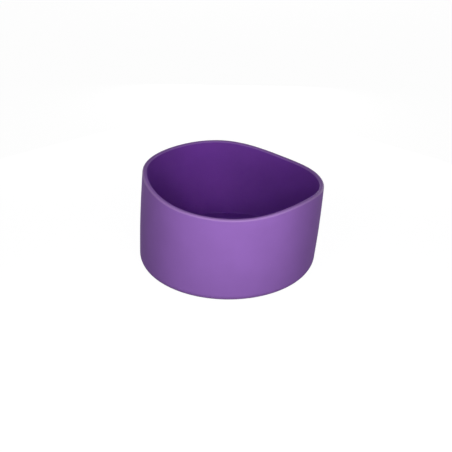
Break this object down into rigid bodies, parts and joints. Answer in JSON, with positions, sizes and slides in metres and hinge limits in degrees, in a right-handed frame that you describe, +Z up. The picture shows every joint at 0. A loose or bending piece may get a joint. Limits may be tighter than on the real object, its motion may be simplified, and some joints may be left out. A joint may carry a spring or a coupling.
{
  "type": "silicone bottle boot",
  "caption": "Soft purple silicone boot: an open cup with a straight thin wall, a flat floor and a wavy rounded rim on a slightly slanted mouth, which stretches over the base of a drinking bottle to protect it.",
  "frame": {"origin": "middle of the flat ring that the cup stands on, on the axis of the cup", "axes": "+Z up along the axis of the cup and out of its mouth; -Y towards the front crest of the rim; the mouth slants down towards +X and -Y"},
  "size_m": [0.0946, 0.0946, 0.0508],
  "materials": {
    "silicone": "matte moulded silicone, soft to the touch"
  },
  "bodies": {
    "root": {"floor_disc": "silicone", "heel_ring": "silicone", "side_wall": "silicone", "wavy_rim": "silicone"}
  },
  "joints": []
}
